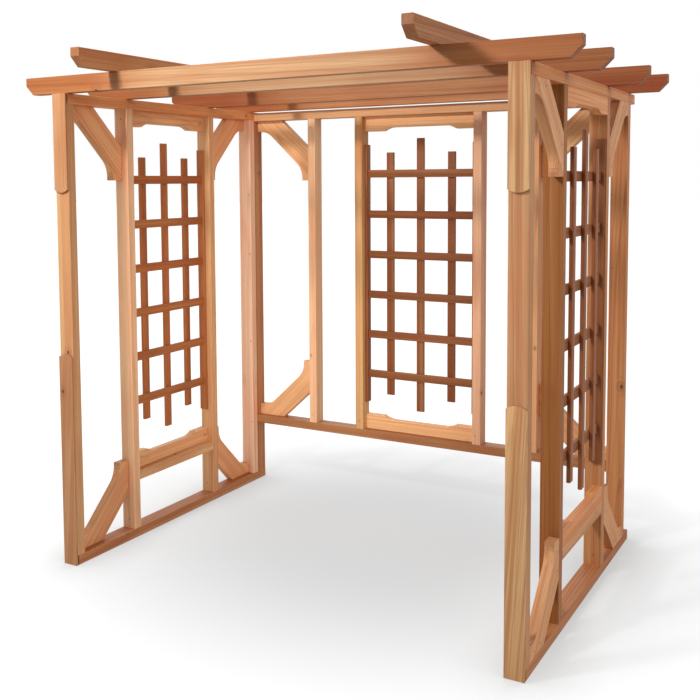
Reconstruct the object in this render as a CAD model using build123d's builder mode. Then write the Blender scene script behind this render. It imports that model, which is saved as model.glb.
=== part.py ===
from build123d import *
import os

os.makedirs("parts", exist_ok=True)

# A free-standing cedar pergola: two side panels and a back panel framed from one lumber size,
# four rafters across the side panels and two cross beams on the rafters.
# X runs right along the open front, Y to the back, Z up. The origin is on the floor,
# in the middle of the pergola.

# Lumber
lumber_wide = 75.0
lumber_thin = 44.0
brace_thickness = 38.0
shaped_thickness = 38.0
slat_width = 40.0
slat_thickness = 15.0
trim_thickness = 10.0
lumber_ease = 3.0           # rounded long edges of every piece of lumber
board_ease = 1.5            # rounded edges of the braces, shaped boards and trim boards

# Overall sizes
frame_width = 2115.0        # outer face to outer face of the side panels
frame_height = 2075.0       # floor to the underside of the rafters

# Side panels, front to back: post, brace bay, stud, lattice bay, stud, brace bay, post, corner post
side_brace_bay = 335.0
side_lattice_bay = 585.0
mid_rail_height = 273.0     # floor to the underside of the mid rail
plate_setback = 5.0         # front ends of the plates, behind the front post's face

# Back panel
back_brace_bay = 345.0
back_lattice_bay = 615.0
back_plate_height = 328.0   # floor to the underside of the bottom plate
back_plate_drop = 5.0       # top plate, below the rafters' underside

# Corner braces
brace_rise = 329.0
brace_contact = 156.0       # length that bears on the plate and on the stud
brace_foot = 58.0
brace_shoulder = 62.0
brace_fillet = 105.0

# Shaped boards above and below each lattice
shaped_end_height = 76.0
shaped_middle_height = 58.0
shaped_end_length = 105.0
shaped_curve_length = 60.0

# Lattice
rail_count = 6
rail_end_margin = 160.0     # centre slat's ends to the nearest rail
slat_end_gap = 117.0        # centre slat's ends to the back panel's plates
inner_slat_step = 71.0      # inner slats' ends short of the centre slat's
outer_slat_step = 27.0      # outer slats' ends short of the centre slat's
inner_gap_extra = 30.0      # gaps beside the centre slat, over the gaps beside the outer slats
lattice_inset = 5.0         # from the panel's outer face

# Trim boards on the front posts
upper_trim_length = 413.0   # from the rafters' underside to the corners of the rounded end
lower_trim_length = 931.0   # from the floor to the corners of the rounded end
trim_crown = 13.0           # rise of the rounded end

# Roof
rafter_overhang = 162.5     # rafters past the side panels
beam_overhang = 216.0       # cross beams past the panels, front and back
beam_inset = 337.5          # centre of a cross beam from the side panel's outer face
end_cut = 40.0              # height and length of the sloped cut under each end

# Heights
plate_top = lumber_thin
top_plate_base = frame_height - lumber_thin
back_plate_top = back_plate_height + lumber_thin
back_top_plate_top = frame_height - back_plate_drop
back_top_plate_base = back_top_plate_top - lumber_thin
mid_rail_top = mid_rail_height + lumber_thin
rafter_top = frame_height + lumber_wide

# Lattice lengths, the same in all three panels
centre_slat_length = back_top_plate_base - back_plate_top - 2 * slat_end_gap
inner_slat_length = centre_slat_length - 2 * inner_slat_step
outer_slat_length = centre_slat_length - 2 * outer_slat_step
rail_spacing = (centre_slat_length - 2 * rail_end_margin - slat_width) / (rail_count - 1)

# Places across the width, for the right side
outer_face = frame_width / 2
inner_face = outer_face - lumber_wide

# Places from the front to the back
frame_depth = 4 * lumber_thin + 2 * side_brace_bay + side_lattice_bay + lumber_wide
front_y = -frame_depth / 2
back_y = frame_depth / 2
front_bay_y = front_y + lumber_thin
front_stud_y = front_bay_y + side_brace_bay
lattice_bay_y = front_stud_y + lumber_thin
back_stud_y = lattice_bay_y + side_lattice_bay
back_bay_y = back_stud_y + lumber_thin
back_post_y = back_bay_y + side_brace_bay
corner_post_y = back_post_y + lumber_thin

# Places across the back panel, for the right side
trellis_stud_x = back_lattice_bay / 2
brace_stud_x = inner_face - back_brace_bay - lumber_thin

SIDES = {"left": -1, "right": 1}


def finish(part, label):
    part.label = label
    export_step(part, f"parts/{label}.step")


def lumber(label, x_range, y_range, z_range, grain):
    """A straight piece of lumber, given by its extent along each axis. Its long edges are rounded."""
    with BuildPart() as piece:
        with BuildSketch(Plane.XY.offset(z_range[0])):
            with Locations(((x_range[0] + x_range[1]) / 2, (y_range[0] + y_range[1]) / 2)):
                Rectangle(abs(x_range[1] - x_range[0]), y_range[1] - y_range[0])
        extrude(amount=z_range[1] - z_range[0])
        fillet(piece.edges().filter_by(grain), radius=lumber_ease)
    finish(piece.part, label)


def side_plane(side, distance_in):
    """Plane of a side panel at a distance in from its outer face: sketch x is Y, sketch y is Z.
    Its normal is +X."""
    return Plane(origin=(side * (outer_face - distance_in), 0, 0), x_dir=(0, 1, 0), z_dir=(1, 0, 0))


def back_plane(distance_in):
    """Plane of the back panel at a distance in from its outer face: sketch x is X, sketch y is Z.
    Its normal is -Y."""
    return Plane(origin=(0, back_y - distance_in, 0), x_dir=(1, 0, 0), z_dir=(0, -1, 0))


def brace_outline(corner_u, corner_v, u_sign, v_sign, run):
    """Outline of a corner brace with its end foot in the corner (corner_u, corner_v).
    It leaves the corner along u_sign, and v_sign points away from the plate."""
    corners = [
        (0, 0),
        (brace_contact, 0),
        (run, brace_rise - brace_contact),
        (run, brace_rise),
        (run - brace_foot, brace_rise),
        (run - brace_foot, brace_rise - brace_shoulder),
        (brace_shoulder, brace_foot),
        (0, brace_foot),
    ]
    points = [(corner_u + u_sign * u, corner_v + v_sign * v) for u, v in corners]
    with BuildSketch() as outline:
        with BuildLine():
            Polyline(*points, close=True)
        make_face()
        inner_corners = points[5:7]
        bends = [
            vertex
            for vertex in outline.vertices()
            if any(abs(vertex.X - u) + abs(vertex.Y - v) < 0.01 for u, v in inner_corners)
        ]
        fillet(bends, radius=brace_fillet)
    return outline.sketch


def shaped_outline(start_u, base_v, v_sign, length):
    """Outline of a shaped board: high at its ends, cut down in between with a round at each end."""
    low = base_v + v_sign * shaped_middle_height
    high = base_v + v_sign * shaped_end_height
    end_u = start_u + length
    cut_start = shaped_end_length + shaped_curve_length
    with BuildSketch() as outline:
        with BuildLine():
            Polyline(
                (start_u + shaped_end_length, high),
                (start_u, high),
                (start_u, base_v),
                (end_u, base_v),
                (end_u, high),
                (end_u - shaped_end_length, high),
            )
            middle = Line((start_u + cut_start, low), (end_u - cut_start, low))
            TangentArc(middle @ 0, (start_u + shaped_end_length, high), tangent=(-1, 0))
            TangentArc(middle @ 1, (end_u - shaped_end_length, high), tangent=(1, 0))
        make_face()
    return outline.sketch


def trim_outline(across, square_end, round_end):
    """Outline of a trim board across a post, square at one height and rounded at the other."""
    crown = round_end + trim_crown * (1 if round_end > square_end else -1)
    with BuildSketch() as outline:
        with BuildLine():
            sides = Polyline(
                (across[0], round_end),
                (across[0], square_end),
                (across[1], square_end),
                (across[1], round_end),
            )
            ThreePointArc(sides @ 1, (sum(across) / 2, crown), sides @ 0)
        make_face()
    return outline.sketch


def flat_boards(label, plane, outlines, thickness):
    """Boards cut from one thickness, laid on the plane and extruded along its normal, with the
    edges of both flat faces rounded."""
    with BuildPart() as boards:
        with BuildSketch(plane):
            for outline in outlines:
                add(outline)
        extrude(amount=thickness)
        fillet(boards.faces().filter_by(plane).edges(), radius=board_ease)
    finish(boards.part, label)


def lattice_solid(plane, bay_start, bay_width, base, top):
    """Rails between two outer slats that stand on edge, with three inner slats nailed behind.
    The plane lies at the slats' outer faces. All bars are fused where they cross."""
    centre_u = bay_start + bay_width / 2
    centre_v = (base + top) / 2
    bars_across = 2 * slat_thickness + 3 * slat_width
    outer_gap = (bay_width - bars_across - 2 * inner_gap_extra) / 4
    pitch = slat_width + outer_gap + inner_gap_extra
    with BuildPart() as lattice:
        with BuildSketch(plane):
            for offset in (-pitch, pitch):
                with Locations((centre_u + offset, centre_v)):
                    Rectangle(slat_width, inner_slat_length)
            with Locations((centre_u, centre_v)):
                Rectangle(slat_width, centre_slat_length)
        extrude(amount=slat_thickness)
        with BuildSketch(plane):
            for end in (-1, 1):
                with Locations((centre_u + end * (bay_width - slat_thickness) / 2, centre_v)):
                    Rectangle(slat_thickness, outer_slat_length)
        extrude(amount=slat_width)
        with BuildSketch(plane.offset(slat_thickness)):
            with Locations((centre_u, centre_v)):
                with GridLocations(0, rail_spacing, 1, rail_count):
                    Rectangle(bay_width - 2 * slat_thickness, slat_width)
        extrude(amount=slat_thickness)
    return lattice.part


def side_panel(name, side):
    across = sorted((side * outer_face, side * inner_face))
    corner_across = sorted((side * inner_face, side * (inner_face + lumber_thin)))
    plate_along = (front_y + plate_setback, back_y)
    stud_height = (plate_top, top_plate_base)
    lumber(f"{name}_bottom_plate", across, plate_along, (0, plate_top), Axis.Y)
    lumber(f"{name}_top_plate", across, plate_along, (top_plate_base, frame_height), Axis.Y)
    uprights = {
        "front_post": front_y,
        "front_stud": front_stud_y,
        "back_stud": back_stud_y,
        "back_post": back_post_y,
    }
    for upright, start_y in uprights.items():
        lumber(f"{name}_{upright}", across, (start_y, start_y + lumber_thin), stud_height, Axis.Z)
    lumber(f"{name}_corner_post", corner_across, (corner_post_y, back_y), stud_height, Axis.Z)
    rail_height = (mid_rail_height, mid_rail_top)
    lumber(f"{name}_mid_rail", across, (lattice_bay_y, back_stud_y), rail_height, Axis.Y)

    # The braces' and the shaped boards' outer faces are flush with the plates.
    # Each sketch lies on the face that looks to -X, and the thickness grows towards +X.
    braces = []
    for corner_v, v_sign in ((plate_top, 1), (top_plate_base, -1)):
        braces.append(brace_outline(front_bay_y, corner_v, 1, v_sign, side_brace_bay))
        braces.append(brace_outline(back_post_y, corner_v, -1, v_sign, side_brace_bay))
    brace_plane = side_plane(side, 0 if side < 0 else brace_thickness)
    flat_boards(f"{name}_corner_braces", brace_plane, braces, brace_thickness)
    shaped = [
        shaped_outline(lattice_bay_y, mid_rail_top, 1, side_lattice_bay),
        shaped_outline(lattice_bay_y, top_plate_base, -1, side_lattice_bay),
    ]
    shaped_plane = side_plane(side, 0 if side < 0 else shaped_thickness)
    flat_boards(f"{name}_shaped_boards", shaped_plane, shaped, shaped_thickness)

    outer_plane = Plane(
        origin=(side * (outer_face - lattice_inset), 0, 0),
        x_dir=(0, -side, 0),
        z_dir=(-side, 0, 0),
    )
    bay_start = min(-side * lattice_bay_y, -side * back_stud_y)
    lattice = lattice_solid(outer_plane, bay_start, side_lattice_bay, mid_rail_top, top_plate_base)
    finish(lattice, f"{name}_lattice")

    trims = [
        trim_outline(across, 0, lower_trim_length),
        trim_outline(across, frame_height, frame_height - upper_trim_length),
    ]
    flat_boards(f"{name}_post_trims", Plane.XZ.offset(-front_y), trims, trim_thickness)


def back_panel():
    across = (-inner_face, inner_face)
    along = (corner_post_y, back_y)
    stud_height = (back_plate_top, back_top_plate_base)
    lumber("back_bottom_plate", across, along, (back_plate_height, back_plate_top), Axis.X)
    lumber("back_top_plate", across, along, (back_top_plate_base, back_top_plate_top), Axis.X)
    for name, side in SIDES.items():
        for stud, stud_x in (("trellis_stud", trellis_stud_x), ("brace_stud", brace_stud_x)):
            stud_across = sorted((side * stud_x, side * (stud_x + lumber_thin)))
            lumber(f"back_{name}_{stud}", stud_across, along, stud_height, Axis.Z)

    # The boards' thickness grows to the front.
    braces = []
    for side in SIDES.values():
        for corner_v, v_sign in ((back_plate_top, 1), (back_top_plate_base, -1)):
            braces.append(brace_outline(side * inner_face, corner_v, -side, v_sign, back_brace_bay))
    flat_boards("back_corner_braces", back_plane(0), braces, brace_thickness)
    shaped = [
        shaped_outline(-trellis_stud_x, back_plate_top, 1, back_lattice_bay),
        shaped_outline(-trellis_stud_x, back_top_plate_base, -1, back_lattice_bay),
    ]
    flat_boards("back_shaped_boards", back_plane(0), shaped, shaped_thickness)

    lattice = lattice_solid(
        back_plane(lattice_inset), -trellis_stud_x, back_lattice_bay, back_plate_top, back_top_plate_base
    )
    finish(lattice, "back_lattice")


def roof_beam(label, plane, length):
    """A board on edge whose underside slopes up at both ends. The sketch x runs along the board
    from its middle, and the plane's origin is on its underside, in its front or left face."""
    half = length / 2
    with BuildPart() as beam:
        with BuildSketch(plane):
            with BuildLine():
                Polyline(
                    (-half + end_cut, 0),
                    (half - end_cut, 0),
                    (half, end_cut),
                    (half, lumber_wide),
                    (-half, lumber_wide),
                    (-half, end_cut),
                    close=True,
                )
            make_face()
        extrude(amount=-lumber_thin)
        long_edges = beam.edges().filter_by(Axis(plane.origin, plane.x_dir))
        fillet(long_edges, radius=lumber_ease)
    finish(beam.part, label)


def roof():
    rafter_fronts = (front_y, front_stud_y, back_stud_y, back_post_y)
    for number, rafter_front in enumerate(rafter_fronts, start=1):
        plane = Plane(origin=(0, rafter_front, frame_height), x_dir=(1, 0, 0), z_dir=(0, -1, 0))
        roof_beam(f"rafter_{number}", plane, frame_width + 2 * rafter_overhang)
    beam_length = frame_depth + 2 * beam_overhang
    for name, side in SIDES.items():
        right_face = side * (outer_face - beam_inset) + lumber_thin / 2
        plane = Plane(origin=(right_face, 0, rafter_top), x_dir=(0, 1, 0), z_dir=(1, 0, 0))
        roof_beam(f"{name}_cross_beam", plane, beam_length)


for side_name, side_sign in SIDES.items():
    side_panel(side_name, side_sign)
back_panel()
roof()
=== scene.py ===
import math
import random

import bmesh
import bpy
from mathutils import Matrix, Vector


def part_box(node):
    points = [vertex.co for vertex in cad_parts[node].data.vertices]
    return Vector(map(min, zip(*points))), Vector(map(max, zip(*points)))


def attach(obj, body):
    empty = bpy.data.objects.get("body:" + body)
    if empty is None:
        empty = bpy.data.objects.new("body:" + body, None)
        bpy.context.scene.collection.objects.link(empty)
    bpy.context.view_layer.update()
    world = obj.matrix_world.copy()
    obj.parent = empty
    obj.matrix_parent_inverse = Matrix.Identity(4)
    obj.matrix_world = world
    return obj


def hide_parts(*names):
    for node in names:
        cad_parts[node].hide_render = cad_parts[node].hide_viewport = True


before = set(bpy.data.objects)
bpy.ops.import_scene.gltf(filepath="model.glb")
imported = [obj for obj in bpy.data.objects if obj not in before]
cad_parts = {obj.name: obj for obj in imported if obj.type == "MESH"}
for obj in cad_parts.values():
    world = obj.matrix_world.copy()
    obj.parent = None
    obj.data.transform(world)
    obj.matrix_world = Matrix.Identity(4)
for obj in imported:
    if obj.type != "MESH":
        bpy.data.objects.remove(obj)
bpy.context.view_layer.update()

# A cedar pergola in the CAD frame: metres, X right along the open front, Y to the back, Z up.

# Lattice bars, the same sizes as in the frame
SLAT_WIDTH = 0.040
SLAT_THICKNESS = 0.015
RAIL_COUNT = 6
RAIL_END_MARGIN = 0.160
INNER_SLAT_STEP = 0.071
OUTER_SLAT_STEP = 0.027
INNER_GAP_EXTRA = 0.030
BAR_EASE = 0.0013
BAR_SLIP = 0.0012
NAIL_RADIUS = 0.0017

# Boards: halves of a brace's rise and of a shaped board's height, how far in from an edge the
# painted highlight on the edges reaches, how much the lower front trims' grain leans, and between
# which distances from its middle a rafter is painted darker, as painted shade towards its ends
BRACE_HALF_RISE = 0.165
SHAPED_HALF_HEIGHT = 0.038
EDGE_REACH = 0.0034
TRIM_GRAIN_SLOPE = 0.07
RAFTER_PAINTED_SHADE = (0.45, 0.90)

# Rings of growth: their width, how uneven they are (in rings), how much the radius grows along the
# grain and round a knot, how far the rings wander, the noise scales along the radius and from ring
# to ring, and how dark each part of a ring is. Then how far the bands lean along the grain.
RING_WIDTH = 0.0068
RING_UNEVENNESS = 2.4
RING_TAPER = 0.011
RING_SWELL = 0.010
RING_WANDER = 0.022
UNEVEN_SCALE = 60.0
RING_STEP = 0.77
RING_LEVELS = ((0.0, 0.12), (0.40, 0.05), (0.72, 0.40), (0.86, 1.0), (0.95, 0.70), (1.0, 0.12))
GRAIN_SLOPE = 0.012

# The figure's noises: scales across, across and along the grain
SLOW_SCALE = (6.0, 6.0, 1.3)
STREAK_SCALE = (120.0, 120.0, 1.0)
BAND_SCALE = (34.0, 34.0, 0.25)
PATCH_SCALE = (9.0, 9.0, 2.2)
FIBRE_SCALE = (340.0, 340.0, 5.0)
STAIN_SCALE = (260.0, 260.0, 260.0)

# The most of each colour that is mixed in
STREAK_SHARE = 0.75
BAND_SHARE = 0.48
SAPWOOD_SHARE = 0.08
PATCH_SHARE = 0.55
LATE_SHARE = 0.38
END_SHARES = (0.42, 0.66)
END_LATE_SHARE = 0.45
SWELL_SHARE = 0.22
KNOT_SHARE = 0.85
BAR_RIPE_SHARE = 0.6

# Lighter and darker: from fibre to fibre and from board to board, edges painted paler as a
# painted highlight, and the lightest that a tone may become
FIBRE_SHADES = (0.91, 1.06)
BOARD_SHADES = (0.95, 1.05)
EDGE_HIGHLIGHT_SHADE = 0.12
TOP_TONE = 0.9

# Where a board's face turns into its end, as the grain's share of the face's normal
END_FACING = (0.55, 0.8)

# What is drawn for each board or bar: how far off its pith is, and its knot's height as a share of
# its length, size, and swing from the middle of the board in radians
PITH_REACH = (0.045, 0.13)
BAR_PITH_REACH = (0.03, 0.09)
KNOT_HEIGHTS = (-0.4, 0.4)
KNOT_SIZES = (0.003, 0.008)
KNOT_SWINGS = (-0.4, 0.4)
BAR_SEEDS = (10.0, 200.0)

# A knot's width as a share of its length along the grain, and a knot too small to see
KNOT_SQUASH = 0.62
NO_KNOT_SIZE = 0.0002

# Steps between the seeds of nodes, and of the boards above and beyond within a node
NODE_SEED_STEP = 3.17
ABOVE_SEED_STEP = 5.3
BEYOND_SEED_STEP = 9.7
FIRST_LATTICE_SEED = 21
SCREW_SEED = 7

# Screw and nail heads: the taper is a share of the radius, and the rim and the recess are an inset
# as a share of the radius and a rise
SCREW_RADIUS = 0.0042
SCREW_PROUD = 0.0003
HEAD_DEPTH = 0.002
HEAD_TAPER = 0.6
HEAD_RIM = (0.18, 0.0001)
HEAD_RECESS = (0.36, -0.0008)
HEAD_SEGMENTS = 12

# Places of the screws. A brace's are measured from its corner, along the panel and up or down
SCREW_WOBBLE = 0.006
FOOT_SCREW_RISE = 0.042
HEAD_SCREW_DROP = 0.046
BACK_POST_SCREWS = (0.34, 0.80, 1.29, 1.62)
BACK_POST_SCREW_INSET = 0.028
CORNER_POST_SCREWS = (0.12, 0.75, 1.40, 1.80)
RAFTER_SCREW_REACH = 1.02
BEAM_SCREW_RISE = 0.02
BRACE_SCREWS = ((0.045, 0.024), (0.115, 0.024), (0.311, 0.215), (0.311, 0.285))

# Camera: place, then yaw from +Y to the left, pitch up and roll in degrees
CAMERA_PLACE = (2.0446, -3.8155, 1.6908)
CAMERA_TURN = (30.15, -4.26, -0.386)
SENSOR = 36.0
LENS = 49.67
SHIFT = (0.043, -0.138)

# Studio: the floor's glow runs from the first level to the second over the reach from its centre;
# the dimmer glow near the centre paints a soft shade under the frame
FLOOR_HALF = 60.0
FLOOR_DROP = 0.0005
FLOOR_GLOW = (0.53, 0.98)
GLOW_REACH = (0.4, 2.3)
GLOW_CENTRE = (0.0, 0.25, 0.0)
# Soft contact shadow: how far it reaches, and the share of open sky that gives each share of the glow
CONTACT_REACH = 0.25
CONTACT_RANGE = (0.55, 1.0, 0.72, 1.0)
CONTACT_SAMPLES = 4
# The floor as light meets it and as the camera sees it, and the world's light on the wood
FLOOR_BOUNCE = (0.55, 0.55, 0.55, 1.0)
FLOOR_COLOUR = (0.20, 0.206, 0.209, 1.0)
AMBIENT = 0.06

# Lamps. Suns: azimuth from the front (0) to the right (90), elevation, strength and width in degrees
SUNS = {
    "front": (-16, 20, 0.75, 40),
    "left": (258, 25, 1.3, 60),
    "back": (190, 25, 1.3, 60),
    "right": (86, 18, 1.3, 36),
}
# Place, target, size and power
SOFTBOX = ((-0.9, -2.8, 3.4), (0.0, -0.4, 1.8), 0.36, 88.0)
# Place, target, cone in degrees, radius and power
SPOT = ((1.9, -3.7, 1.5), (-0.66, 0.58, 1.1), 31.0, 0.3, 460.0)


def srgb(red, green, blue):
    """A colour given by its 0 to 255 screen values, as the linear values that Blender takes."""
    linear = [(c / 255 / 12.92) if c < 10 else ((c / 255 + 0.055) / 1.055) ** 2.4 for c in (red, green, blue)]
    return (*linear, 1.0)


# Wood tones: earlywood, streaks between the rings, latewood and the bands of warmer heartwood
TONES = {
    "honey": (srgb(229, 178, 130), srgb(214, 155, 106), srgb(150, 90, 48), srgb(208, 138, 92)),
    "tan": (srgb(220, 165, 120), srgb(200, 140, 94), srgb(138, 80, 44), srgb(196, 126, 84)),
    "wheat": (srgb(190, 148, 110), srgb(173, 126, 86), srgb(120, 72, 40), srgb(168, 112, 76)),
    "peach": (srgb(243, 200, 162), srgb(230, 177, 134), srgb(176, 116, 74), srgb(224, 158, 118)),
    "pink": (srgb(228, 178, 146), srgb(212, 154, 120), srgb(160, 102, 70), srgb(210, 142, 108)),
    "golden": (srgb(222, 172, 118), srgb(198, 142, 88), srgb(138, 86, 42), srgb(190, 122, 74)),
    "orange": (srgb(206, 143, 94), srgb(184, 116, 68), srgb(120, 62, 30), srgb(178, 102, 58)),
    "brown": (srgb(186, 124, 80), srgb(160, 98, 58), srgb(100, 50, 26), srgb(150, 84, 48)),
    "amber": (srgb(200, 126, 58), srgb(176, 102, 44), srgb(112, 56, 22), srgb(166, 90, 40)),
    "figured": (srgb(238, 188, 136), srgb(188, 126, 78), srgb(108, 58, 26), srgb(192, 122, 74)),
    "rose": (srgb(240, 190, 160), srgb(226, 168, 138), srgb(172, 112, 82), srgb(222, 156, 124)),
    "red": (srgb(188, 118, 66), srgb(162, 95, 50), srgb(104, 54, 26), srgb(154, 86, 44)),
}
SAPWOOD_COLOUR = srgb(244, 212, 166)
KNOT_COLOUR = srgb(84, 42, 22)
END_GRAIN_COLOUR = srgb(120, 78, 48)
# The tint that paints a rafter's ends darker as painted shade, and some lattice bars as a darker tone
SHADE_AND_TONE_TINT = (0.76, 0.47, 0.27, 1.0)
WARMTH = (1.0, 0.985, 0.92)
METAL_COLOURS = (srgb(146, 112, 76), srgb(92, 66, 44))


class Tree:
    """Short calls for building one shader or node group."""

    def __init__(self, tree):
        self.tree = tree

    def node(self, kind, inputs=(), **settings):
        made = self.tree.nodes.new(kind)
        for key, value in settings.items():
            setattr(made, key, value)
        for key, value in dict(inputs).items():
            self.put(made.inputs[key], value)
        return made

    def put(self, socket, value):
        if isinstance(value, bpy.types.NodeSocket):
            self.tree.links.new(value, socket)
        else:
            socket.default_value = value

    def math(self, operation, *values, clamp=False):
        inputs = dict(enumerate(values))
        return self.node("ShaderNodeMath", inputs, operation=operation, use_clamp=clamp).outputs[0]

    def vector(self, operation, *values):
        return self.node("ShaderNodeVectorMath", dict(enumerate(values)), operation=operation)

    def scaled(self, vector, scale):
        return self.vector("MULTIPLY", vector, scale).outputs["Vector"]

    def parts(self, vector):
        return self.node("ShaderNodeSeparateXYZ", {0: vector}).outputs

    def joined(self, x, y, z):
        return self.node("ShaderNodeCombineXYZ", {0: x, 1: y, 2: z}).outputs[0]

    def slanted(self, vector):
        """The place moved aside as it goes along the board, as grain that isn't quite straight."""
        aside = self.math("MULTIPLY", self.parts(vector)[2], GRAIN_SLOPE)
        return self.vector("ADD", vector, self.joined(aside, aside, 0.0)).outputs["Vector"]

    def noise(self, vector, seed, detail=2.0, roughness=0.5):
        inputs = {"Vector": vector, "W": seed, "Scale": 1.0, "Detail": detail, "Roughness": roughness}
        return self.node("ShaderNodeTexNoise", inputs, noise_dimensions="4D").outputs

    def chance(self, seed):
        """One random number from 0 to 1 for each seed."""
        return self.node("ShaderNodeTexWhiteNoise", {"W": seed}, noise_dimensions="1D").outputs["Value"]

    def spread(self, value, low, high, to_low=0.0, to_high=1.0):
        """The value from low to high, eased to run from to_low to to_high."""
        inputs = {0: value, 1: low, 2: high, 3: to_low, 4: to_high}
        return self.node("ShaderNodeMapRange", inputs, interpolation_type="SMOOTHSTEP").outputs[0]

    def mix(self, factor, first, second, blend="MIX"):
        made = self.node("ShaderNodeMix", data_type="RGBA", blend_type=blend)
        self.put(made.inputs["Factor"], factor)
        self.put(made.inputs[6], first)
        self.put(made.inputs[7], second)
        return made.outputs[2]

    def ramp(self, value, stops):
        made = self.node("ShaderNodeValToRGB", {0: value})
        points = made.color_ramp.elements
        while len(points) < len(stops):
            points.new(0.5)
        for point, (place, level) in zip(points, stops):
            point.position = place
            point.color = (level, level, level, 1.0)
        return made.outputs[0]


def make_cedar_group():
    """Cedar as a solid: growth rings round a pith that runs along the board, with streaks, fibres
    and one knot. Position is across, across and along the grain, in metres from the middle."""
    group = bpy.data.node_groups.new("cedar", "ShaderNodeTree")
    tree = Tree(group)
    sockets = {
        "Position": "NodeSocketVector",
        "Pith": "NodeSocketVector",
        "Knot Side": "NodeSocketVector",
        "Knot Height": "NodeSocketFloat",
        "Knot Size": "NodeSocketFloat",
        "Seed": "NodeSocketFloat",
        "End Grain": "NodeSocketFloat",
        "Edge": "NodeSocketFloat",
        "Ripe": "NodeSocketFloat",
        "Light": "NodeSocketColor",
        "Streak": "NodeSocketColor",
        "Late": "NodeSocketColor",
        "Warm": "NodeSocketColor",
    }
    results = {"Color": "NodeSocketColor", "Roughness": "NodeSocketFloat", "Height": "NodeSocketFloat"}
    for name, kind in sockets.items():
        group.interface.new_socket(name=name, in_out="INPUT", socket_type=kind)
    for name, kind in results.items():
        group.interface.new_socket(name=name, in_out="OUTPUT", socket_type=kind)
    given = tree.node("NodeGroupInput").outputs
    position, seed = given["Position"], given["Seed"]

    # Knot: a cone that runs out from the pith towards one side of the board
    from_pith = tree.vector("SUBTRACT", position, given["Pith"]).outputs["Vector"]
    x, y, along = tree.parts(from_pith)
    side_x, side_y, _ = tree.parts(given["Knot Side"])
    outward = tree.math("ADD", tree.math("MULTIPLY", x, side_x), tree.math("MULTIPLY", y, side_y))
    sideways = tree.math("SUBTRACT", tree.math("MULTIPLY", x, side_y), tree.math("MULTIPLY", y, side_x))
    rise = tree.math("MULTIPLY", tree.math("SUBTRACT", along, given["Knot Height"]), KNOT_SQUASH)
    knot_distance = tree.vector("LENGTH", tree.joined(sideways, rise, 0.0)).outputs["Value"]
    knot_ratio = tree.math("DIVIDE", knot_distance, given["Knot Size"])
    in_front = tree.spread(outward, 0.0, 0.004)
    knot = tree.math("MULTIPLY", tree.spread(knot_ratio, 1.15, 0.75), in_front)
    swell = tree.math("MULTIPLY", tree.spread(knot_ratio, 5.0, 0.9), in_front)

    # Growth rings, bent by a slow wander and pushed outwards round the knot
    slow = tree.noise(tree.scaled(position, SLOW_SCALE), seed, 1.0)["Color"]
    wander = tree.vector("SUBTRACT", slow, (0.5, 0.5, 0.5)).outputs["Vector"]
    wander = tree.scaled(wander, (RING_WANDER, RING_WANDER, 0.0))
    bent = tree.vector("ADD", tree.joined(x, y, 0.0), wander).outputs["Vector"]
    radius = tree.vector("LENGTH", bent).outputs["Value"]
    radius = tree.math("ADD", radius, tree.math("MULTIPLY", along, RING_TAPER))
    radius = tree.math("ADD", radius, tree.math("MULTIPLY", swell, RING_SWELL))
    uneven = tree.noise(tree.joined(tree.math("MULTIPLY", radius, UNEVEN_SCALE), 0.0, 0.0), seed, 1.0)["Fac"]
    uneven = tree.math("MULTIPLY", uneven, RING_UNEVENNESS)
    rings = tree.math("ADD", tree.math("DIVIDE", radius, RING_WIDTH), uneven)
    latewood = tree.ramp(tree.math("FRACT", rings), RING_LEVELS)
    ring_number = tree.math("FLOOR", rings)
    ring_place = tree.joined(tree.math("MULTIPLY", ring_number, RING_STEP), 0.0, 0.0)
    ring_noise = tree.noise(ring_place, seed, 0.0)["Fac"]
    latewood = tree.math("MULTIPLY", latewood, tree.spread(ring_noise, 0.35, 0.65, 0.25, 1.0))

    # Bands of sapwood and heartwood, streaks, patches and fine fibres, all drawn out along the grain
    streaks = tree.noise(tree.scaled(position, STREAK_SCALE), seed, 3.0, 0.65)["Fac"]
    bands = tree.noise(tree.scaled(tree.slanted(position), BAND_SCALE), seed, 1.0)["Fac"]
    patches = tree.noise(tree.scaled(position, PATCH_SCALE), seed, 2.0)["Fac"]
    fibres = tree.noise(tree.scaled(position, FIBRE_SCALE), seed, 3.0, 0.65)["Fac"]

    colour = tree.mix(tree.spread(streaks, 0.34, 0.66, 0.0, STREAK_SHARE), given["Light"], given["Streak"])
    colour = tree.mix(tree.spread(bands, 0.50, 0.64, 0.0, BAND_SHARE), colour, given["Warm"])
    colour = tree.mix(tree.spread(bands, 0.44, 0.32, 0.0, SAPWOOD_SHARE), colour, SAPWOOD_COLOUR)
    colour = tree.mix(tree.spread(patches, 0.46, 0.70, 0.0, PATCH_SHARE), colour, given["Warm"])
    colour = tree.mix(tree.math("MULTIPLY", latewood, LATE_SHARE), colour, given["Late"])
    end_colour = tree.mix(tree.spread(patches, 0.3, 0.7, *END_SHARES), colour, END_GRAIN_COLOUR)
    end_colour = tree.mix(tree.math("MULTIPLY", latewood, END_LATE_SHARE), end_colour, given["Late"])
    colour = tree.mix(given["End Grain"], colour, end_colour)
    colour = tree.mix(tree.math("MULTIPLY", swell, SWELL_SHARE), colour, given["Late"])
    colour = tree.mix(tree.math("MULTIPLY", knot, KNOT_SHARE), colour, KNOT_COLOUR)
    # A rafter's ends take the tint as painted shade; a lattice bar takes it at random, as a darker tone
    colour = tree.mix(given["Ripe"], colour, tree.mix(1.0, colour, SHADE_AND_TONE_TINT, "MULTIPLY"))
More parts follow.
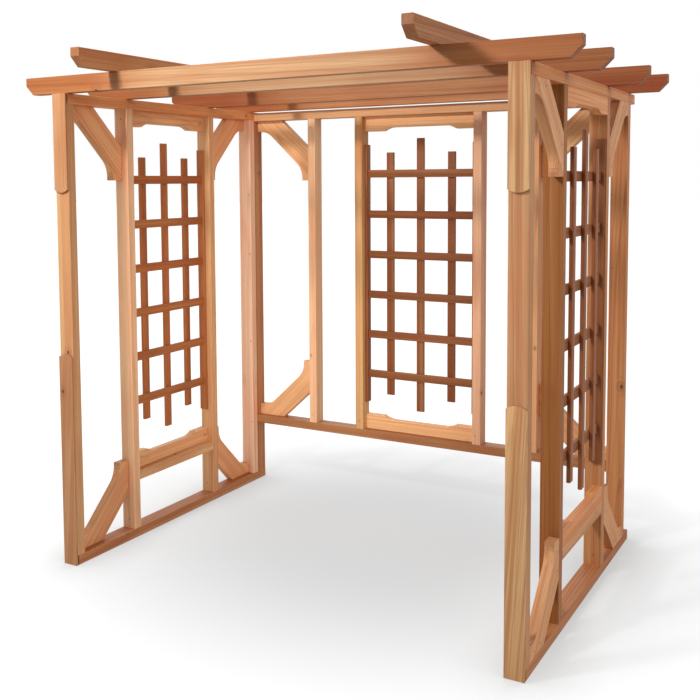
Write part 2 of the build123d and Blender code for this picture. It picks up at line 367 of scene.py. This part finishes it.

    # Light and dark fibres and boards, and edges painted paler as a painted highlight
    fibre_shade = tree.spread(fibres, 0.28, 0.72, *FIBRE_SHADES)
    board_shade = tree.spread(tree.chance(seed), 0.0, 1.0, *BOARD_SHADES)
    # Edges are painted lighter as a painted highlight, where eased edges would catch the light; the same mask
    # makes them rougher
    worn = tree.math("MULTIPLY", given["Edge"], tree.spread(patches, 0.35, 0.6, 0.25, 1.0))
    shade = tree.math("MULTIPLY", fibre_shade, board_shade)
    shade = tree.math("MULTIPLY", shade, tree.math("ADD", tree.math("MULTIPLY", worn, EDGE_HIGHLIGHT_SHADE), 1.0))
    colour = tree.mix(1.0, colour, tree.joined(shade, shade, shade), "MULTIPLY")

    height = tree.math("ADD", tree.math("MULTIPLY", latewood, 0.35), tree.math("MULTIPLY", fibres, 0.65))
    height = tree.math("SUBTRACT", height, tree.math("MULTIPLY", knot, 0.5))
    roughness = tree.math("ADD", tree.spread(streaks, 0.3, 0.7, 0.56, 0.70), tree.math("MULTIPLY", worn, 0.1))
    tree.node("NodeGroupOutput", {"Color": colour, "Roughness": roughness, "Height": height})
    return group


def along_axis(tree, place, normal, size, axis):
    """Position, end-grain factor and seed shift of lumber whose grain runs along one axis."""
    order = {"X": (1, 2, 0), "Y": (0, 2, 1), "Z": (0, 1, 2)}[axis]
    position = tree.joined(*[place[i] for i in order])
    return position, tree.math("ABSOLUTE", normal[order[2]]), 0.0


def along_pair(tree, place, normal, size, axis):
    """The same for a node of two boards, one above the other."""
    above = tree.math("MULTIPLY", tree.math("GREATER_THAN", place[2], 0.0), ABOVE_SEED_STEP)
    if axis == "Z":
        below = tree.math("MINIMUM", place[2], 0.0)
        across = tree.math("SUBTRACT", place[0], tree.math("MULTIPLY", below, TRIM_GRAIN_SLOPE))
        position = tree.joined(across, place[1], place[2])
        return position, tree.math("ABSOLUTE", normal[2]), above
    across, along = (1, 0) if axis == "X" else (0, 1)
    height = tree.math("SUBTRACT", tree.math("ABSOLUTE", place[2]), size[2] / 2 - SHAPED_HALF_HEIGHT)
    position = tree.joined(place[across], height, place[along])
    return position, tree.math("ABSOLUTE", normal[along]), above


def along_braces(tree, place, normal, size, axis):
    """The same for four corner braces, whose grain follows their slope. axis is the level one in
    their plane. Folding the plane about its middle lays the four on each other."""
    across, level = (1, 0) if axis == "X" else (0, 1)
    above = tree.math("GREATER_THAN", place[2], 0.0)
    beyond = tree.math("GREATER_THAN", place[level], 0.0)
    p = tree.math("SUBTRACT", tree.math("ABSOLUTE", place[level]), size[level] / 2 - BRACE_HALF_RISE)
    q = tree.math("SUBTRACT", tree.math("ABSOLUTE", place[2]), size[2] / 2 - BRACE_HALF_RISE)
    along = tree.math("MULTIPLY", tree.math("ADD", p, q), math.sqrt(0.5))
    aside = tree.math("MULTIPLY", tree.math("SUBTRACT", p, q), math.sqrt(0.5))
    folded_level = tree.math("MULTIPLY", normal[level], tree.math("SIGN", place[level]))
    folded_up = tree.math("MULTIPLY", normal[2], tree.math("SIGN", place[2]))
    facing = tree.math("MULTIPLY", tree.math("ADD", folded_level, folded_up), math.sqrt(0.5))
    above = tree.math("MULTIPLY", above, ABOVE_SEED_STEP)
    beyond = tree.math("MULTIPLY", beyond, BEYOND_SEED_STEP)
    position = tree.joined(place[across], aside, along)
    return position, tree.math("ABSOLUTE", facing), tree.math("ADD", above, beyond)


# The mask of the painted highlight on the edges
def worn_edge(tree, place, halves):
    """1 on a box's edges, 0 on its faces: an edge is near two of the box's sides."""
    x, y, z = [tree.math("SUBTRACT", halves[i], tree.math("ABSOLUTE", place[i])) for i in range(3)]
    smaller, larger = tree.math("MINIMUM", x, y), tree.math("MAXIMUM", x, y)
    second = tree.math("MAXIMUM", smaller, tree.math("MINIMUM", larger, z))
    return tree.spread(second, EDGE_REACH, 0.0)


def new_material(name):
    material = bpy.data.materials.new(name)
    material.use_nodes = True
    material.node_tree.nodes.clear()
    return material, Tree(material.node_tree)


def finish_cedar(tree, tone, gain, given):
    """The cedar shader, with its wood's tone made lighter or darker by the gain."""
    group = tree.node("ShaderNodeGroup", node_tree=cedar)
    for key, value in given.items():
        tree.put(group.inputs[key], value)
    for key, colour in zip(("Light", "Streak", "Late", "Warm"), TONES[tone]):
        tree.put(group.inputs[key], (*(min(gain * c * w, TOP_TONE) for c, w in zip(colour, WARMTH)), 1.0))
    relief = {"Height": group.outputs["Height"], "Strength": 0.35, "Distance": 0.0006}
    bump = tree.node("ShaderNodeBump", relief)
    shader = tree.node("ShaderNodeBsdfPrincipled", {"Base Color": group.outputs["Color"]})
    tree.put(shader.inputs["Roughness"], group.outputs["Roughness"])
    tree.put(shader.inputs["Normal"], bump.outputs["Normal"])
    shader.inputs["Specular IOR Level"].default_value = 0.3
    tree.node("ShaderNodeOutputMaterial", {"Surface": shader.outputs["BSDF"]})


def cedar_material(node, seed):
    """A cedar finish for one node, cut from its own part of a tree."""
    material, tree = new_material(f"cedar_{node}")
    centre, size = box_of(node)
    axis, lay = grain_of(node)
    place = tree.node("ShaderNodeTexCoord").outputs["Object"]
    place = tree.parts(tree.vector("SUBTRACT", place, centre).outputs["Vector"])
    normal = tree.parts(tree.node("ShaderNodeNewGeometry").outputs["True Normal"])
    position, facing, shift = lay(tree, place, normal, size, axis)
    draw = random.Random(seed)
    turn = draw.uniform(0, 2 * math.pi)
    reach = draw.uniform(*PITH_REACH)
    knot_turn = turn + math.pi + draw.uniform(*KNOT_SWINGS)
    knot_height = draw.uniform(*KNOT_HEIGHTS) * max(size)
    knot_size = draw.uniform(*KNOT_SIZES)
    if node in KNOTS:
        turn, knot_turn, knot_height, knot_size = KNOTS[node]
    given = {
        "Position": position,
        "Pith": (reach * math.cos(turn), reach * math.sin(turn), 0.0),
        "Knot Side": (math.cos(knot_turn), math.sin(knot_turn), 0.0),
        "Knot Height": knot_height,
        "Knot Size": knot_size,
        "Seed": tree.math("ADD", shift, seed * NODE_SEED_STEP),
        "End Grain": tree.spread(facing, *END_FACING),
        "Edge": worn_edge(tree, place, size / 2),
    }
    # Rafters are painted darker towards their ends: painted shade, standing in for light that falls off there
    if node.startswith("rafter"):
        given["Ripe"] = tree.spread(tree.math("ABSOLUTE", tree.parts(position)[2]), *RAFTER_PAINTED_SHADE)
    finish_cedar(tree, *NODE_TONES[node], given)
    return material


def bar_material(node):
    """A cedar finish for a lattice's bars, each of which carries its own place, grain and seed."""
    material, tree = new_material(f"cedar_{node}")
    facts = {n: tree.node("ShaderNodeAttribute", attribute_name=n).outputs for n in BAR_FACTS}
    position, seed = facts["grain"]["Vector"], facts["seed"]["Fac"]
    normal = tree.node("ShaderNodeNewGeometry").outputs["True Normal"]
    facing = tree.vector("DOT_PRODUCT", normal, facts["axis"]["Vector"]).outputs["Value"]
    given = {
        "Position": position,
        "Pith": facts["pith"]["Vector"],
        "Knot Size": NO_KNOT_SIZE,
        "Seed": seed,
        "End Grain": tree.spread(tree.math("ABSOLUTE", facing), *END_FACING),
        "Edge": worn_edge(tree, tree.parts(position), tree.parts(facts["half"]["Vector"])),
        "Ripe": tree.math("MULTIPLY", tree.chance(seed), BAR_RIPE_SHARE),
    }
    finish_cedar(tree, *LATTICE_TONES[node], given)
    return material


def metal_material():
    """Coated steel, browned a little from head to head."""
    material, tree = new_material("screw_metal")
    place = tree.node("ShaderNodeTexCoord").outputs["Object"]
    stain = tree.noise(tree.scaled(place, STAIN_SCALE), 4.0, 3.0)["Fac"]
    shader = tree.node("ShaderNodeBsdfPrincipled", {"Base Color": tree.mix(stain, *METAL_COLOURS)})
    tree.put(shader.inputs["Roughness"], tree.spread(stain, 0.3, 0.7, 0.38, 0.6))
    bump = tree.node("ShaderNodeBump", {"Height": stain, "Strength": 0.2, "Distance": 0.0002})
    tree.put(shader.inputs["Normal"], bump.outputs["Normal"])
    shader.inputs["Metallic"].default_value = 0.8
    tree.node("ShaderNodeOutputMaterial", {"Surface": shader.outputs["BSDF"]})
    return material


def grain_of(node):
    """The axis that a node's grain follows, or its level one, and how its boards lie."""
    in_back = node.startswith("back_")
    if node.endswith("corner_braces"):
        return ("X" if in_back else "Y"), along_braces
    if node.endswith("shaped_boards"):
        return ("X" if in_back else "Y"), along_pair
    if node.endswith("post_trims"):
        return "Z", along_pair
    if node.startswith("rafter") or (in_back and node.endswith("plate")):
        return "X", along_axis
    if node.endswith(("plate", "mid_rail", "cross_beam")):
        return "Y", along_axis
    return "Z", along_axis


# Each node's wood tone and how much lighter or darker its boards are
NODE_TONES = {
    "rafter_1": ("wheat", 1.0),
    "rafter_2": ("wheat", 0.92),
    "rafter_3": ("orange", 0.7),
    "rafter_4": ("orange", 0.85),
    "left_cross_beam": ("orange", 0.9),
    "right_cross_beam": ("orange", 0.76),
    "left_front_post": ("honey", 0.84),
    "left_post_trims": ("tan", 0.79),
    "left_front_stud": ("peach", 0.97),
    "left_back_stud": ("honey", 0.97),
    "left_back_post": ("rose", 1.12),
    "left_corner_post": ("brown", 1.2),
    "left_bottom_plate": ("brown", 1.08),
    # Lighter tone as painted light: it makes up for the rafters' shade on the plate's inner face
    "left_top_plate": ("orange", 1.5),
    "left_mid_rail": ("honey", 1.0),
    "left_corner_braces": ("tan", 1.25),
    "left_shaped_boards": ("honey", 1.12),
    "right_front_post": ("tan", 0.81),
    "right_post_trims": ("figured", 0.82),
    # Darker tone as painted shade: it stands in for the front post's shadow on the stud's front
    "right_front_stud": ("amber", 0.62),
    "right_back_stud": ("orange", 0.9),
    "right_back_post": ("orange", 1.0),
    "right_corner_post": ("tan", 1.0),
    "right_bottom_plate": ("brown", 1.12),
    "right_top_plate": ("orange", 1.15),
    "right_mid_rail": ("tan", 1.0),
    "right_corner_braces": ("tan", 1.12),
    "right_shaped_boards": ("orange", 1.35),
    "back_bottom_plate": ("orange", 0.73),
    "back_top_plate": ("tan", 1.0),
    "back_corner_braces": ("honey", 1.05),
    "back_shaped_boards": ("honey", 1.12),
    "back_left_brace_stud": ("peach", 1.05),
    "back_left_trellis_stud": ("golden", 0.88),
    "back_right_trellis_stud": ("pink", 0.95),
    "back_right_brace_stud": ("tan", 1.1),
}
LATTICE_TONES = {
    "left_lattice": ("red", 1.05),
    "right_lattice": ("red", 0.65),
    "back_lattice": ("red", 0.62),
}

# Seeds of the boards whose figure is chosen instead of drawn from the node's number
CUTS = {"left_post_trims": 47, "right_post_trims": 51}

# Knots whose place is chosen: the pith's direction, the knot's direction, its height and its size
KNOTS = {
    "right_back_post": (1.32, -math.pi / 2, -0.29, 0.007),
    "left_shaped_boards": (math.pi, 0.0, 0.27, 0.003),
}


def box_of(node):
    low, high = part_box(node)
    return (low + high) / 2, high - low


def finish_lumber():
    for number, node in enumerate(sorted(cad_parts), 1):
        if node.endswith("lattice"):
            continue
        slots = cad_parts[node].data.materials
        slots.clear()
        slots.append(cedar_material(node, CUTS.get(node, number)))


# What each point of a bar carries, with the type of each
BAR_FACTS = {
    "grain": "FLOAT_VECTOR",
    "half": "FLOAT_VECTOR",
    "axis": "FLOAT_VECTOR",
    "pith": "FLOAT_VECTOR",
    "seed": "FLOAT",
}


def link_mesh(name, mesh):
    made = bpy.data.objects.new(name, mesh)
    bpy.context.scene.collection.objects.link(made)
    return made


class Bars:
    """Eased bars gathered into one mesh. Every point carries its place in its bar, with the grain
    last, and its bar's half size, grain axis, pith and seed."""

    def __init__(self, seed):
        self.draw = random.Random(seed)
        self.points, self.faces = [], []
        self.facts = {name: [] for name in BAR_FACTS}

    def add(self, centre, size):
        build = bmesh.new()
        bmesh.ops.create_cube(build, size=1.0, matrix=Matrix.Diagonal((*size, 1.0)))
        bmesh.ops.bevel(build, geom=build.edges[:], offset=BAR_EASE, segments=2, profile=0.5, affect="EDGES")
        build.verts.index_update()
        along = max(range(3), key=lambda i: size[i])
        order = [i for i in range(3) if i != along] + [along]
        slip = Vector((0.0, 0.0, 0.0))
        slip[along] = self.draw.uniform(-BAR_SLIP, BAR_SLIP)
        axis = Vector((0.0, 0.0, 0.0))
        axis[along] = 1.0
        turn, reach = self.draw.uniform(0, 2 * math.pi), self.draw.uniform(*BAR_PITH_REACH)
        pith = Vector((reach * math.cos(turn), reach * math.sin(turn), 0.0))
        seed = self.draw.uniform(*BAR_SEEDS)
        half = Vector([size[i] / 2 for i in order])
        first = len(self.points)
        for vert in build.verts:
            self.points.append(vert.co + Vector(centre) + slip)
            grain = Vector([vert.co[i] for i in order])
            for name, value in zip(BAR_FACTS, (grain, half, axis, pith, seed)):
                self.facts[name].append(value)
        self.faces += [[first + vert.index for vert in face.verts] for face in build.faces]
        build.free()

    def piece(self, name, material):
        mesh = bpy.data.meshes.new(name)
        mesh.from_pydata(self.points, [], self.faces)
        for fact, kind in BAR_FACTS.items():
            layer = mesh.attributes.new(fact, kind, "POINT")
            values = self.facts[fact]
            if kind == "FLOAT":
                layer.data.foreach_set("value", values)
            else:
                layer.data.foreach_set("vector", [c for value in values for c in value])
        mesh.materials.append(material)
        mesh.shade_smooth()
        mesh.set_sharp_from_angle(angle=math.radians(40))
        return link_mesh(name, mesh)


def lattice_rails_and_slats(node):
    """The bars of one lattice as (centre, size), and the nails as places on the rails' inner faces.
    Outward is the way from the pergola's middle, level is the way along the panel."""
    low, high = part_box(node)
    outward = 1 if node.startswith("back") else 0
    level = 1 - outward
    sign = 1 if low[outward] + high[outward] > 0 else -1
    outer = high[outward] if sign > 0 else low[outward]
    middle = (low + high) / 2
    width, length = high[level] - low[level], high[2] - low[2]

    def bar(across, height, depth, size_across, size_up, size_in):
        centre, size = [0.0] * 3, [0.0] * 3
        centre[level], centre[2] = middle[level] + across, middle[2] + height
        centre[outward] = outer - sign * (depth + size_in / 2)
        size[level], size[2], size[outward] = size_across, size_up, size_in
        return centre, size

    bars_across = 2 * SLAT_THICKNESS + 3 * SLAT_WIDTH
    pitch = SLAT_WIDTH + (width - bars_across - 2 * INNER_GAP_EXTRA) / 4 + INNER_GAP_EXTRA
    spacing = (length - 2 * RAIL_END_MARGIN - SLAT_WIDTH) / (RAIL_COUNT - 1)
    bars, nails = [], []
    for across in (-pitch, 0.0, pitch):
        short = INNER_SLAT_STEP if across else 0.0
        bars.append(bar(across, 0.0, 0.0, SLAT_WIDTH, length - 2 * short, SLAT_THICKNESS))
    for end in (-1, 1):
        across = end * (width - SLAT_THICKNESS) / 2
        bars.append(bar(across, 0.0, 0.0, SLAT_THICKNESS, length - 2 * OUTER_SLAT_STEP, SLAT_WIDTH))
    for row in range(RAIL_COUNT):
        height = (row - (RAIL_COUNT - 1) / 2) * spacing
        bars.append(bar(0.0, height, SLAT_THICKNESS, width - 2 * SLAT_THICKNESS, SLAT_WIDTH, SLAT_THICKNESS))
        for across in (-pitch, 0.0, pitch):
            spot = bar(across, height, 2 * SLAT_THICKNESS, 0.0, 0.0, 0.0)[0]
            nails.append((spot, outward, -sign))
    return bars, nails


def add_head(build, place, axis, sign, radius):
    """A flat head sunk in the wood with only its rim proud, and a recess in it."""
    normal = Vector((0.0, 0.0, 0.0))
    normal[axis] = sign
    turn = normal.to_track_quat("Z", "Y").to_matrix().to_4x4()
    spot = Matrix.Translation(Vector(place) + normal * (SCREW_PROUD - HEAD_DEPTH / 2)) @ turn
    sizes = {"radius1": HEAD_TAPER * radius, "radius2": radius, "depth": HEAD_DEPTH}
    made = bmesh.ops.create_cone(build, cap_ends=True, segments=HEAD_SEGMENTS, matrix=spot, **sizes)
    faces = {face for vert in made["verts"] for face in vert.link_faces}
    top = max(faces, key=lambda face: face.calc_center_median().dot(normal))
    for share, depth in (HEAD_RIM, HEAD_RECESS):
        bmesh.ops.inset_individual(build, faces=[top], thickness=share * radius, depth=depth)


def heads_piece(name, heads, radius, material):
    build = bmesh.new()
    for place, axis, sign in heads:
        add_head(build, place, axis, sign, radius)
    mesh = bpy.data.meshes.new(name)
    build.to_mesh(mesh)
    build.free()
    mesh.materials.append(material)
    made = link_mesh(name, mesh)
    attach(made, "root")


def make_lattices():
    """Lays each lattice anew, bar by bar, and gives back the places of all the nails."""
    nails = []
    for number, node in enumerate(LATTICE_TONES, FIRST_LATTICE_SEED):
        bars = Bars(number)
        laid, nailed = lattice_rails_and_slats(node)
        for centre, size in laid:
            bars.add(centre, size)
        nails += nailed
        made = bars.piece(f"{node}_bars", bar_material(node))
        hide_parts(node)
        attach(made, "root")
    return nails


def screw_places():
    """Screws where the lumber is fixed: (place, axis of the face, sign of its outer side)."""
    draw = random.Random(SCREW_SEED)
    screws = []
    for node in sorted(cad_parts):
        low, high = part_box(node)
        middle = (low + high) / 2
        wobble = draw.uniform(-SCREW_WOBBLE, SCREW_WOBBLE)
        if node.endswith(("post", "stud")):
            for height in (low[2] + FOOT_SCREW_RISE, high[2] - HEAD_SCREW_DROP):
                screws.append(((middle[0] + wobble, low[1], height), 1, -1))
        if node.endswith("back_post"):
            inner = middle[0] - math.copysign(BACK_POST_SCREW_INSET, middle[0])
            for height in BACK_POST_SCREWS:
                screws.append(((inner, low[1], height), 1, -1))
        if node.endswith("corner_post"):
            side = 1 if middle[0] < 0 else -1
            inner = high[0] if side > 0 else low[0]
            for height in CORNER_POST_SCREWS:
                screws.append(((inner, middle[1] + wobble, height), 0, side))
        if node.startswith("rafter"):
            for side in (-1, 1):
                screws.append(((side * RAFTER_SCREW_REACH, middle[1] + wobble, high[2]), 2, 1))
        if node.endswith("cross_beam"):
            for rafter in ("rafter_1", "rafter_2", "rafter_3", "rafter_4"):
                across = box_of(rafter)[0][1]
                screws.append(((low[0], across + wobble, low[2] + BEAM_SCREW_RISE), 0, -1))
        if node.endswith("corner_braces") and not node.startswith("back"):
            side = -1 if middle[0] < 0 else 1
            outer = low[0] if side < 0 else high[0]
            for y in (low[1], high[1]):
                inward = 1 if y < 0 else -1
                for z, up in ((low[2], 1), (high[2], -1)):
                    for along, aside in BRACE_SCREWS:
                        screws.append(((outer, y + inward * along, z + up * aside), 0, side))
    return screws


def make_fixings(nails):
    metal = metal_material()
    heads_piece("screw_heads", screw_places(), SCREW_RADIUS, metal)
    heads_piece("lattice_nails", nails, NAIL_RADIUS, metal)


def make_floor():
    """A white floor that glows only as the camera sees it, less so near the middle and close to
    the frame."""
    mesh = bpy.data.meshes.new("floor")
    build = bmesh.new()
    bmesh.ops.create_grid(build, x_segments=1, y_segments=1, size=FLOOR_HALF)
    build.to_mesh(mesh)
    build.free()
    floor = link_mesh("floor", mesh)
    floor.location.z = -FLOOR_DROP
    material, tree = new_material("white_floor")
    path = tree.node("ShaderNodeLightPath").outputs
    seen = tree.math("MAXIMUM", path["Is Camera Ray"], path["Is Glossy Ray"])
    colour = tree.mix(seen, FLOOR_BOUNCE, FLOOR_COLOUR)
    shader = tree.node("ShaderNodeBsdfPrincipled", {"Base Color": colour, "Roughness": 0.9})
    shader.inputs["Specular IOR Level"].default_value = 0.0
    shader.inputs["Emission Color"].default_value = (1.0, 1.0, 1.0, 1.0)
    place = tree.node("ShaderNodeTexCoord").outputs["Object"]
    # The glow is dimmer near the middle: painted shade on the floor under the frame
    away = tree.vector("DISTANCE", place, GLOW_CENTRE).outputs["Value"]
    glow = tree.spread(away, *GLOW_REACH, *FLOOR_GLOW)
    # The glow is dimmed by ambient occlusion close to the frame: a painted contact shadow
    near = tree.node("ShaderNodeAmbientOcclusion")
    near.samples = CONTACT_SAMPLES
    near.inputs["Distance"].default_value = CONTACT_REACH
    glow = tree.math("MULTIPLY", glow, tree.spread(near.outputs["AO"], *CONTACT_RANGE))
    tree.put(shader.inputs["Emission Strength"], tree.math("MULTIPLY", seen, glow))
    tree.node("ShaderNodeOutputMaterial", {"Surface": shader.outputs["BSDF"]})
    mesh.materials.append(material)


def make_world():
    """White as the camera sees it, and a faint even light on the wood."""
    world = bpy.data.worlds.new("studio")
    bpy.context.scene.world = world
    world.use_nodes = True
    world.node_tree.nodes.clear()
    tree = Tree(world.node_tree)
    path = tree.node("ShaderNodeLightPath").outputs
    seen = tree.math("MAXIMUM", path["Is Camera Ray"], path["Is Glossy Ray"])
    seen = tree.math("MAXIMUM", seen, path["Is Transmission Ray"])
    strength = tree.math("ADD", tree.math("MULTIPLY", seen, 1.0 - AMBIENT), AMBIENT)
    background = tree.node("ShaderNodeBackground", {"Color": (1.0, 1.0, 1.0, 1.0), "Strength": strength})
    tree.node("ShaderNodeOutputWorld", {"Surface": background.outputs["Background"]})


def put_lamp(name, kind, power, towards):
    """A lamp that shines from the side that towards points to."""
    light = bpy.data.lights.new(name, kind)
    light.energy = power
    lamp = bpy.data.objects.new(name, light)
    lamp.rotation_euler = towards.to_track_quat("Z", "Y").to_euler()
    bpy.context.scene.collection.objects.link(lamp)
    return lamp


def make_sun(name, azimuth, elevation, strength, angle):
    """A wide, even light."""
    a, e = math.radians(azimuth), math.radians(elevation)
    towards = Vector((math.sin(a) * math.cos(e), -math.cos(a) * math.cos(e), math.sin(e)))
    put_lamp(name, "SUN", strength, towards).data.angle = math.radians(angle)


def make_softbox(name, place, target, size, power):
    lamp = put_lamp(name, "AREA", power, Vector(place) - Vector(target))
    lamp.location = place
    lamp.data.size = size


def make_spot(name, place, target, cone, radius, power):
    """A round beam that fades to its rim."""
    lamp = put_lamp(name, "SPOT", power, Vector(place) - Vector(target))
    lamp.location = place
    lamp.data.spot_size = math.radians(cone)
    lamp.data.spot_blend = 1.0
    lamp.data.shadow_soft_size = radius


def make_camera():
    camera = bpy.data.cameras.new("camera")
    camera.sensor_width = SENSOR
    camera.lens = LENS
    camera.shift_x, camera.shift_y = SHIFT
    view = bpy.data.objects.new("camera", camera)
    yaw, pitch, roll = (math.radians(angle) for angle in CAMERA_TURN)
    turn = Matrix.Rotation(yaw, 4, "Z") @ Matrix.Rotation(math.pi / 2 + pitch, 4, "X")
    turn = turn @ Matrix.Rotation(roll, 4, "Z")
    view.matrix_world = Matrix.Translation(CAMERA_PLACE) @ turn
    bpy.context.scene.collection.objects.link(view)
    bpy.context.scene.camera = view


cedar = make_cedar_group()
finish_lumber()
make_fixings(make_lattices())
make_floor()
make_world()
for sun, facts in SUNS.items():
    make_sun(sun, *facts)
make_softbox("high", *SOFTBOX)
make_spot("corner", *SPOT)
make_camera()
bpy.context.scene.view_settings.view_transform = "Standard"
